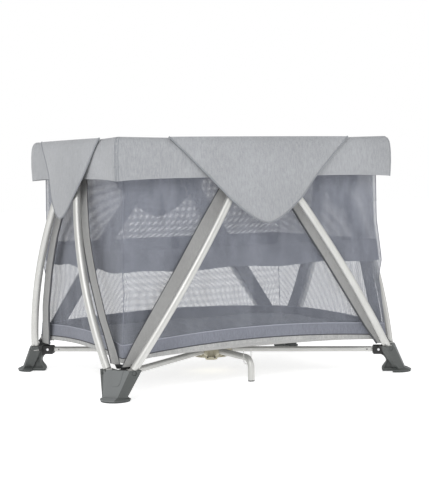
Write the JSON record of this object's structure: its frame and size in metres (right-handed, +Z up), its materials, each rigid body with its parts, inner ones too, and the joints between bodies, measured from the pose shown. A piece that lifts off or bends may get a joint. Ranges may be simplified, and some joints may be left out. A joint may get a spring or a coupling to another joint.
{
  "type": "travel play yard",
  "caption": "Folding travel play yard with mesh walls, a padded rim, a hanging bassinet insert, bowed legs, moulded feet and a central folding hub.",
  "frame": {"origin": "centre of the footprint on the floor", "axes": "+X along the long side, +Y towards the rear long side, +Z up; the centre support leg is on the front, -Y, side"},
  "size_m": [0.989, 0.7158, 0.69],
  "materials": {
    "tube": "satin silver round tube",
    "foot_plastic": "grey moulded plastic",
    "joint_plastic": "black moulded plastic",
    "hub_plastic": "off-white moulded plastic",
    "sole_rubber": "dark grey rubber",
    "rim_cloth": "heather grey woven cloth",
    "mesh_cloth": "slate grey open mesh",
    "pad_cloth": "grey woven cloth over foam",
    "loop_elastic": "pale elastic cord"
  },
  "bodies": {
    "base": {"hub_shell": "hub_plastic", "tub_front": "mesh_cloth", "tub_rear": "mesh_cloth", "tub_left": "mesh_cloth", "tub_right": "mesh_cloth", "tub_floor": "pad_cloth", "rim_cover_front": "rim_cloth", "rim_cover_rear": "rim_cloth", "rim_cover_left": "rim_cloth", "rim_cover_right": "rim_cloth", "floor_loop": "loop_elastic"},
    "mattress": {"mattress": "pad_cloth"},
    "bassinet": {"bassinet_front": "mesh_cloth", "bassinet_rear": "mesh_cloth", "bassinet_left": "mesh_cloth", "bassinet_right": "mesh_cloth", "bassinet_floor": "pad_cloth"},
    "centre_leg": {"centre_leg": "tube", "centre_leg_cap": "sole_rubber"},
    "hub_handle": {"hub_handle": "joint_plastic"},
    "arm_front_left": {"base_arm_front_left": "tube"},
    "foot_front_left": {"foot_front_left": "foot_plastic", "foot_sole_front_left": "sole_rubber"},
    "long_leg_front_left": {"long_leg_front_left": "tube"},
    "short_leg_front_left": {"short_leg_front_left": "tube"},
    "long_joint_front_left": {"long_joint_front_left": "joint_plastic"},
    "short_joint_front_left": {"short_joint_front_left": "joint_plastic"},
    "long_rail_front_left": {"long_rail_front_left": "tube", "rail_corner_front_left": "joint_plastic"},
    "short_rail_front_left": {"short_rail_front_left": "tube"},
    "arm_front_right": {"base_arm_front_right": "tube"},
    "foot_front_right": {"foot_front_right": "foot_plastic", "foot_sole_front_right": "sole_rubber"},
    "long_leg_front_right": {"long_leg_front_right": "tube"},
    "short_leg_front_right": {"short_leg_front_right": "tube"},
    "long_joint_front_right": {"long_joint_front_right": "joint_plastic"},
    "short_joint_front_right": {"short_joint_front_right": "joint_plastic"},
    "long_rail_front_right": {"long_rail_front_right": "tube", "rail_corner_front_right": "joint_plastic"},
    "short_rail_front_right": {"short_rail_front_right": "tube"},
    "arm_rear_left": {"base_arm_rear_left": "tube"},
    "foot_rear_left": {"foot_rear_left": "foot_plastic", "foot_sole_rear_left": "sole_rubber"},
    "long_leg_rear_left": {"long_leg_rear_left": "tube"},
    "short_leg_rear_left": {"short_leg_rear_left": "tube"},
    "long_joint_rear_left": {"long_joint_rear_left": "joint_plastic"},
    "short_joint_rear_left": {"short_joint_rear_left": "joint_plastic"},
    "long_rail_rear_left": {"long_rail_rear_left": "tube", "rail_corner_rear_left": "joint_plastic"},
    "short_rail_rear_left": {"short_rail_rear_left": "tube"},
    "arm_rear_right": {"base_arm_rear_right": "tube"},
    "foot_rear_right": {"foot_rear_right": "foot_plastic", "foot_sole_rear_right": "sole_rubber"},
    "long_leg_rear_right": {"long_leg_rear_right": "tube"},
    "short_leg_rear_right": {"short_leg_rear_right": "tube"},
    "long_joint_rear_right": {"long_joint_rear_right": "joint_plastic"},
    "short_joint_rear_right": {"short_joint_rear_right": "joint_plastic"},
    "long_rail_rear_right": {"long_rail_rear_right": "tube", "rail_corner_rear_right": "joint_plastic"},
    "short_rail_rear_right": {"short_rail_rear_right": "tube"}
  },
  "joints": [
    {"name": "fold", "type": "hinge", "parent": "base", "child": "arm_front_left", "pos_m": [-0.0412, -0.02833, 0.0645], "axis": [0.5667, -0.8239, 0], "range_deg": [0, 86], "deforming": ["tub_front", "tub_rear", "tub_left", "tub_right", "tub_floor", "mattress", "bassinet_front", "bassinet_rear", "bassinet_left", "bassinet_right", "bassinet_floor", "rim_cover_front", "rim_cover_rear", "rim_cover_left", "rim_cover_right", "floor_loop"]},
    {"name": "foot_pivot_front_left", "type": "hinge", "parent": "arm_front_left", "child": "foot_front_left", "pos_m": [-0.41, -0.282, 0.0645], "axis": [0.5667, -0.8239, 0], "range_deg": [-86, 0]},
    {"name": "long_leg_swing_front_left", "type": "hinge", "parent": "foot_front_left", "child": "long_leg_front_left", "pos_m": [-0.411, -0.3275, 0.072], "axis": [0, -1, 0], "range_deg": [0, 30.87]},
    {"name": "long_joint_swing_front_left", "type": "hinge", "parent": "long_leg_front_left", "child": "long_joint_front_left", "pos_m": [-0.0315, -0.298, 0.636], "axis": [0, -1, 0], "range_deg": [-30.87, 0]},
    {"name": "long_rail_fold_front_left", "type": "hinge", "parent": "long_joint_front_left", "child": "long_rail_front_left", "pos_m": [-0.054, -0.301, 0.652], "axis": [0, -1, 0], "range_deg": [0, 90.01]},
    {"name": "short_leg_swing_front_left", "type": "hinge", "parent": "foot_front_left", "child": "short_leg_front_left", "pos_m": [-0.4554, -0.2742, 0.072], "axis": [1, 0, 0], "range_deg": [0, 22.63]},
    {"name": "short_joint_swing_front_left", "type": "hinge", "parent": "short_leg_front_left", "child": "short_joint_front_left", "pos_m": [-0.424, -0.027, 0.636], "axis": [1, 0, 0], "range_deg": [-22.63, 0]},
    {"name": "short_rail_fold_front_left", "type": "hinge", "parent": "short_joint_front_left", "child": "short_rail_front_left", "pos_m": [-0.424, -0.044, 0.678], "axis": [1, 0, 0], "range_deg": [0, 80.01]},
    {"name": "arm_swing_front_right", "type": "hinge", "parent": "base", "child": "arm_front_right", "pos_m": [0.0412, -0.02833, 0.0645], "axis": [0.5667, 0.8239, 0], "range_deg": [0, 86]},
    {"name": "foot_pivot_front_right", "type": "hinge", "parent": "arm_front_right", "child": "foot_front_right", "pos_m": [0.41, -0.282, 0.0645], "axis": [0.5667, 0.8239, 0], "range_deg": [-86, 0]},
    {"name": "long_leg_swing_front_right", "type": "hinge", "parent": "foot_front_right", "child": "long_leg_front_right", "pos_m": [0.411, -0.3275, 0.072], "axis": [0, 1, 0], "range_deg": [0, 30.87]},
    {"name": "long_joint_swing_front_right", "type": "hinge", "parent": "long_leg_front_right", "child": "long_joint_front_right", "pos_m": [0.0315, -0.298, 0.636], "axis": [0, 1, 0], "range_deg": [-30.87, 0]},
    {"name": "long_rail_fold_front_right", "type": "hinge", "parent": "long_joint_front_right", "child": "long_rail_front_right", "pos_m": [0.054, -0.301, 0.652], "axis": [0, 1, 0], "range_deg": [0, 90.01]},
    {"name": "short_leg_swing_front_right", "type": "hinge", "parent": "foot_front_right", "child": "short_leg_front_right", "pos_m": [0.4554, -0.2742, 0.072], "axis": [1, 0, 0], "range_deg": [0, 22.63]},
    {"name": "short_joint_swing_front_right", "type": "hinge", "parent": "short_leg_front_right", "child": "short_joint_front_right", "pos_m": [0.424, -0.027, 0.636], "axis": [1, 0, 0], "range_deg": [-22.63, 0]},
    {"name": "short_rail_fold_front_right", "type": "hinge", "parent": "short_joint_front_right", "child": "short_rail_front_right", "pos_m": [0.424, -0.044, 0.678], "axis": [1, 0, 0], "range_deg": [0, 80.01]},
    {"name": "arm_swing_rear_left", "type": "hinge", "parent": "base", "child": "arm_rear_left", "pos_m": [-0.0412, 0.02833, 0.0645], "axis": [-0.5667, -0.8239, 0], "range_deg": [0, 86]},
    {"name": "foot_pivot_rear_left", "type": "hinge", "parent": "arm_rear_left", "child": "foot_rear_left", "pos_m": [-0.41, 0.282, 0.0645], "axis": [-0.5667, -0.8239, 0], "range_deg": [-86, 0]},
    {"name": "long_leg_swing_rear_left", "type": "hinge", "parent": "foot_rear_left", "child": "long_leg_rear_left", "pos_m": [-0.411, 0.3275, 0.072], "axis": [0, -1, 0], "range_deg": [0, 30.87]},
    {"name": "long_joint_swing_rear_left", "type": "hinge", "parent": "long_leg_rear_left", "child": "long_joint_rear_left", "pos_m": [-0.0315, 0.298, 0.636], "axis": [0, -1, 0], "range_deg": [-30.87, 0]},
    {"name": "long_rail_fold_rear_left", "type": "hinge", "parent": "long_joint_rear_left", "child": "long_rail_rear_left", "pos_m": [-0.054, 0.301, 0.652], "axis": [0, -1, 0], "range_deg": [0, 90.01]},
    {"name": "short_leg_swing_rear_left", "type": "hinge", "parent": "foot_rear_left", "child": "short_leg_rear_left", "pos_m": [-0.4554, 0.2742, 0.072], "axis": [-1, 0, 0], "range_deg": [0, 22.63]},
    {"name": "short_joint_swing_rear_left", "type": "hinge", "parent": "short_leg_rear_left", "child": "short_joint_rear_left", "pos_m": [-0.424, 0.027, 0.636], "axis": [-1, 0, 0], "range_deg": [-22.63, 0]},
    {"name": "short_rail_fold_rear_left", "type": "hinge", "parent": "short_joint_rear_left", "child": "short_rail_rear_left", "pos_m": [-0.424, 0.044, 0.678], "axis": [-1, 0, 0], "range_deg": [0, 80.01]},
    {"name": "arm_swing_rear_right", "type": "hinge", "parent": "base", "child": "arm_rear_right", "pos_m": [0.0412, 0.02833, 0.0645], "axis": [-0.5667, 0.8239, 0], "range_deg": [0, 86]},
    {"name": "foot_pivot_rear_right", "type": "hinge", "parent": "arm_rear_right", "child": "foot_rear_right", "pos_m": [0.41, 0.282, 0.0645], "axis": [-0.5667, 0.8239, 0], "range_deg": [-86, 0]},
    {"name": "long_leg_swing_rear_right", "type": "hinge", "parent": "foot_rear_right", "child": "long_leg_rear_right", "pos_m": [0.411, 0.3275, 0.072], "axis": [0, 1, 0], "range_deg": [0, 30.87]},
    {"name": "long_joint_swing_rear_right", "type": "hinge", "parent": "long_leg_rear_right", "child": "long_joint_rear_right", "pos_m": [0.0315, 0.298, 0.636], "axis": [0, 1, 0], "range_deg": [-30.87, 0]},
    {"name": "long_rail_fold_rear_right", "type": "hinge", "parent": "long_joint_rear_right", "child": "long_rail_rear_right", "pos_m": [0.054, 0.301, 0.652], "axis": [0, 1, 0], "range_deg": [0, 90.01]},
    {"name": "short_leg_swing_rear_right", "type": "hinge", "parent": "foot_rear_right", "child": "short_leg_rear_right", "pos_m": [0.4554, 0.2742, 0.072], "axis": [-1, 0, 0], "range_deg": [0, 22.63]},
    {"name": "short_joint_swing_rear_right", "type": "hinge", "parent": "short_leg_rear_right", "child": "short_joint_rear_right", "pos_m": [0.424, 0.027, 0.636], "axis": [-1, 0, 0], "range_deg": [-22.63, 0]},
    {"name": "short_rail_fold_rear_right", "type": "hinge", "parent": "short_joint_rear_right", "child": "short_rail_rear_right", "pos_m": [0.424, 0.044, 0.678], "axis": [-1, 0, 0], "range_deg": [0, 80.01]},
    {"name": "centre_leg_swing", "type": "hinge", "parent": "base", "child": "centre_leg", "pos_m": [0, -0.05, 0.0645], "axis": [1, 0, 0], "range_deg": [0, 86]},
    {"name": "mattress_lift", "type": "slide", "parent": "base", "child": "mattress", "axis": [0, 0, 1], "range_m": [0, 0.2681]},
    {"name": "bassinet_lift", "type": "slide", "parent": "base", "child": "bassinet", "axis": [0, 0, 1], "range_m": [0, 0.0621]},
    {"name": "lock_turn", "type": "hinge", "parent": "base", "child": "hub_handle", "pos_m": [0, 0, 0.076], "axis": [0, 0, 1], "range_deg": [0, 90]}
  ],
  "couplings": [
    {"joint": "foot_pivot_front_left", "follows": "fold", "ratio": -1},
    {"joint": "long_leg_swing_front_left", "follows": "fold", "ratio": 0.35889},
    {"joint": "long_joint_swing_front_left", "follows": "fold", "ratio": -0.35889},
    {"joint": "long_rail_fold_front_left", "follows": "fold", "ratio": 1.0465},
    {"joint": "short_leg_swing_front_left", "follows": "fold", "ratio": 0.26306},
    {"joint": "short_joint_swing_front_left", "follows": "fold", "ratio": -0.26306},
    {"joint": "short_rail_fold_front_left", "follows": "fold", "ratio": 0.93023},
    {"joint": "arm_swing_front_right", "follows": "fold", "ratio": 1},
    {"joint": "foot_pivot_front_right", "follows": "fold", "ratio": -1},
    {"joint": "long_leg_swing_front_right", "follows": "fold", "ratio": 0.35889},
    {"joint": "long_joint_swing_front_right", "follows": "fold", "ratio": -0.35889},
    {"joint": "long_rail_fold_front_right", "follows": "fold", "ratio": 1.0465},
    {"joint": "short_leg_swing_front_right", "follows": "fold", "ratio": 0.26306},
    {"joint": "short_joint_swing_front_right", "follows": "fold", "ratio": -0.26306},
    {"joint": "short_rail_fold_front_right", "follows": "fold", "ratio": 0.93023},
    {"joint": "arm_swing_rear_left", "follows": "fold", "ratio": 1},
    {"joint": "foot_pivot_rear_left", "follows": "fold", "ratio": -1},
    {"joint": "long_leg_swing_rear_left", "follows": "fold", "ratio": 0.35889},
    {"joint": "long_joint_swing_rear_left", "follows": "fold", "ratio": -0.35889},
    {"joint": "long_rail_fold_rear_left", "follows": "fold", "ratio": 1.0465},
    {"joint": "short_leg_swing_rear_left", "follows": "fold", "ratio": 0.26306},
    {"joint": "short_joint_swing_rear_left", "follows": "fold", "ratio": -0.26306},
    {"joint": "short_rail_fold_rear_left", "follows": "fold", "ratio": 0.93023},
    {"joint": "arm_swing_rear_right", "follows": "fold", "ratio": 1},
    {"joint": "foot_pivot_rear_right", "follows": "fold", "ratio": -1},
    {"joint": "long_leg_swing_rear_right", "follows": "fold", "ratio": 0.35889},
    {"joint": "long_joint_swing_rear_right", "follows": "fold", "ratio": -0.35889},
    {"joint": "long_rail_fold_rear_right", "follows": "fold", "ratio": 1.0465},
    {"joint": "short_leg_swing_rear_right", "follows": "fold", "ratio": 0.26306},
    {"joint": "short_joint_swing_rear_right", "follows": "fold", "ratio": -0.26306},
    {"joint": "short_rail_fold_rear_right", "follows": "fold", "ratio": 0.93023},
    {"joint": "centre_leg_swing", "follows": "fold", "ratio": 1},
    {"joint": "mattress_lift", "follows": "fold", "m_per_rad": 0.17855},
    {"joint": "bassinet_lift", "follows": "fold", "m_per_rad": 0.041306}
  ]
}
